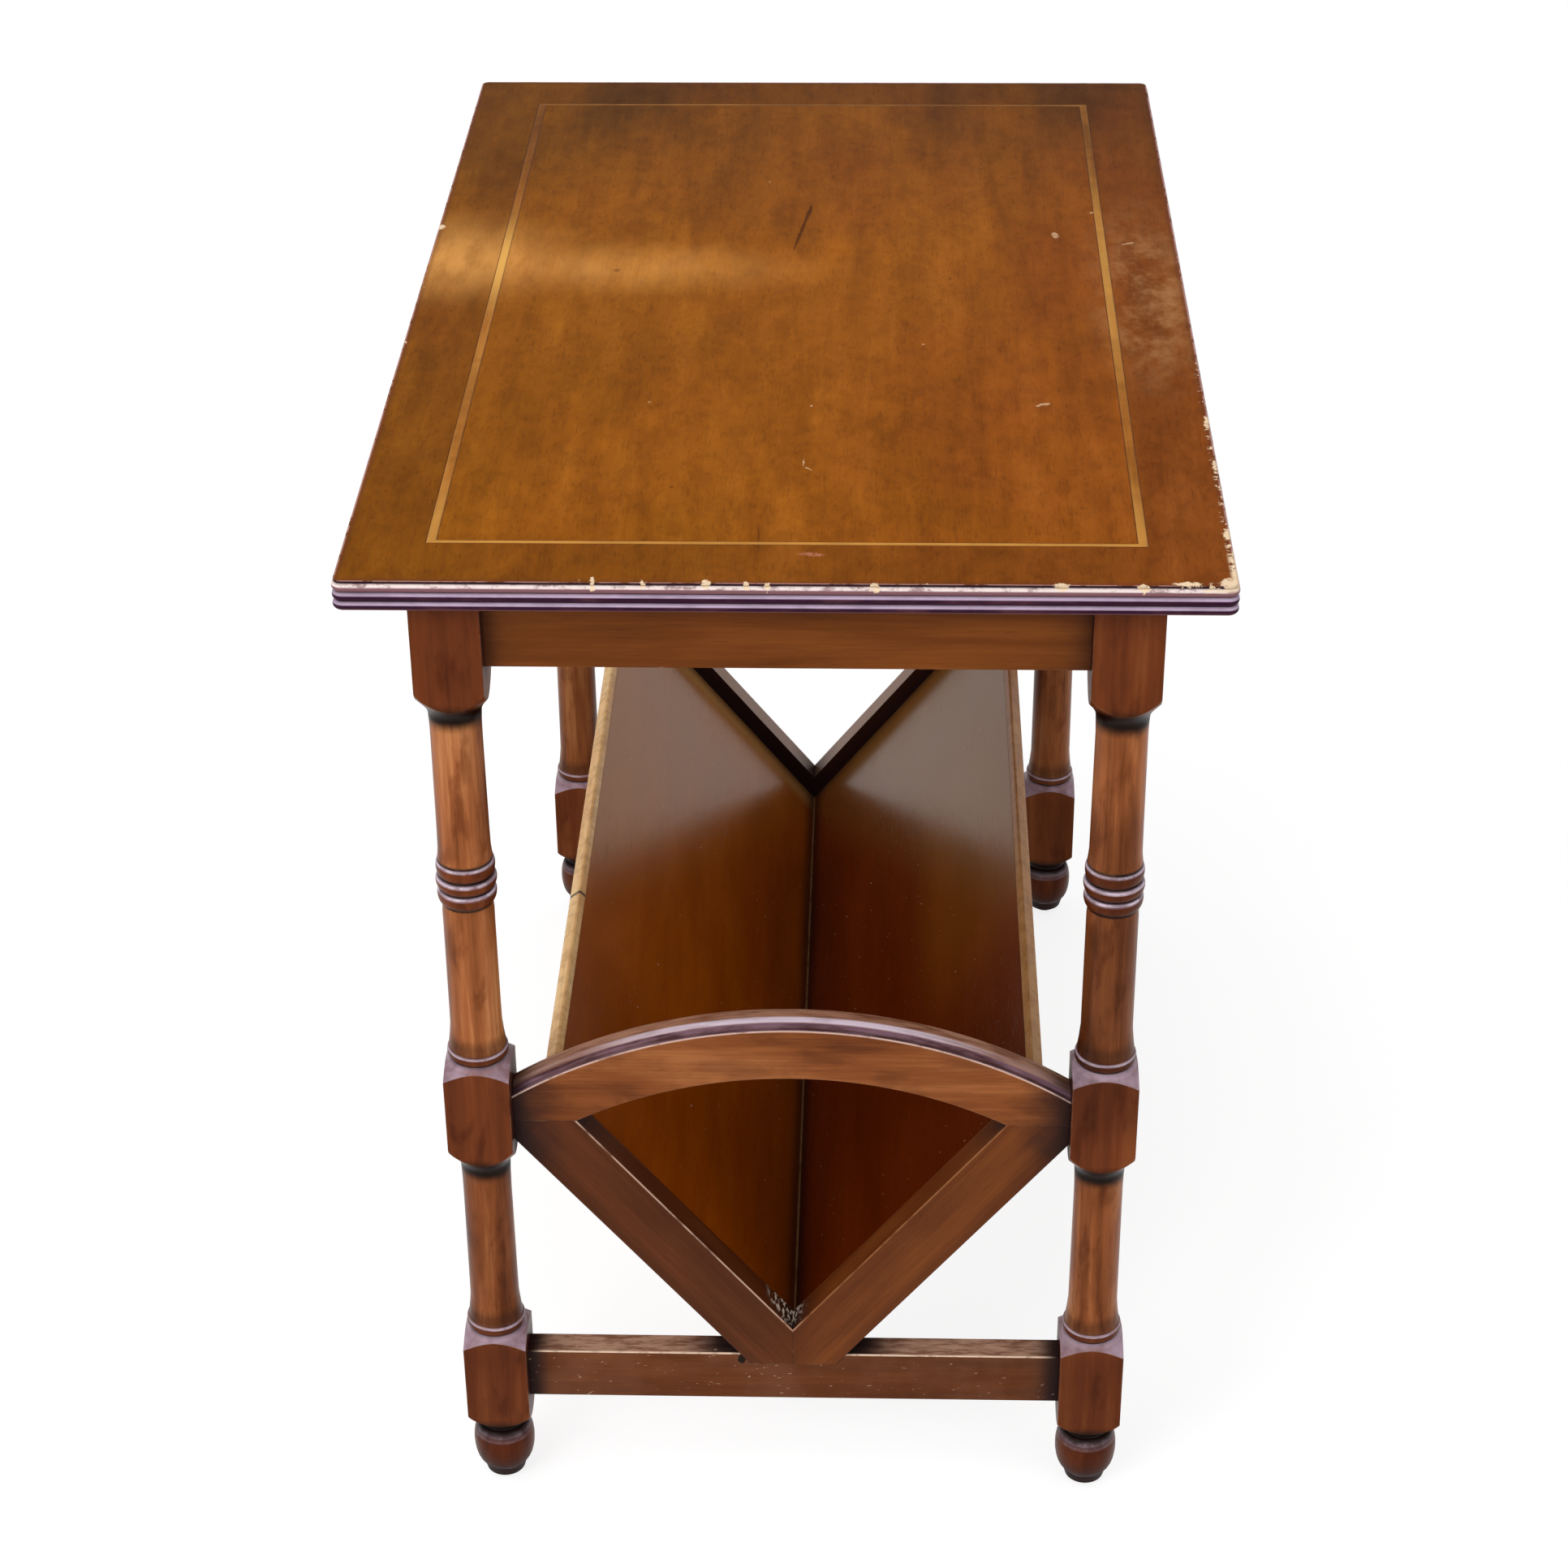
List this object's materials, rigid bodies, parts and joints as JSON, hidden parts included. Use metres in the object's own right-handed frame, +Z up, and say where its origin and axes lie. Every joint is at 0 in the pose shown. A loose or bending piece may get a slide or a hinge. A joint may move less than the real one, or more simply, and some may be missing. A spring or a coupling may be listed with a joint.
{
  "type": "magazine rack side table",
  "caption": "Oblong wooden side table with a reeded, strung top on turned legs and a V-shaped magazine trough slung between arched end frames.",
  "frame": {"origin": "on the floor under the middle of the top", "axes": "+Z up, +Y along the length of the top towards the back end, +X across its width towards the right; the end at -Y is the one nearest the viewer in the picture"},
  "size_m": [0.381, 0.61, 0.535],
  "materials": {
    "top_wood": "French polished mahogany, worn and mottled, mid golden brown",
    "stringing_across": "pale boxwood stringing under the same polish",
    "stringing_along": "pale boxwood stringing under the same polish",
    "leg_wood": "turned and polished, dark reddish brown, grime in the quirks",
    "apron_end_wood": "polished, dark reddish brown",
    "apron_side_wood": "polished, dark reddish brown",
    "stretcher_wood": "polished, dark reddish brown",
    "arch_wood": "polished, dark reddish brown, highlights on the moulded edge",
    "v_rail_wood": "polished, dark reddish brown",
    "trough_wood": "glossy dark reddish brown",
    "lipping_wood": "worn to pale wood on top, stained brown inside",
    "block_wood": "plain unpolished softwood",
    "dowel_wood": "plain beech",
    "screw_steel": "dull steel"
  },
  "bodies": {
    "root": {"top_board": "top_wood", "stringing_front": "stringing_across", "stringing_back": "stringing_across", "stringing_left": "stringing_along", "stringing_right": "stringing_along", "leg_front_left": "leg_wood", "leg_front_right": "leg_wood", "leg_back_left": "leg_wood", "leg_back_right": "leg_wood", "apron_front": "apron_end_wood", "apron_back": "apron_end_wood", "apron_left": "apron_side_wood", "apron_right": "apron_side_wood", "stretcher_front": "stretcher_wood", "stretcher_back": "stretcher_wood", "arch_rail_front": "arch_wood", "arch_rail_back": "arch_wood", "v_rail_front_left": "v_rail_wood", "v_rail_front_right": "v_rail_wood", "v_rail_back_left": "v_rail_wood", "v_rail_back_right": "v_rail_wood", "trough_board_left": "trough_wood", "trough_board_right": "trough_wood", "lipping_left": "lipping_wood", "lipping_right": "lipping_wood", "glue_block_front": "block_wood", "glue_block_back": "block_wood", "glue_block_left_front": "block_wood", "glue_block_left_back": "block_wood", "glue_block_right_front": "block_wood", "glue_block_right_back": "block_wood", "dowels_front": "dowel_wood", "dowels_back": "dowel_wood", "top_screws": "screw_steel", "frame_screws": "screw_steel"}
  },
  "joints": []
}
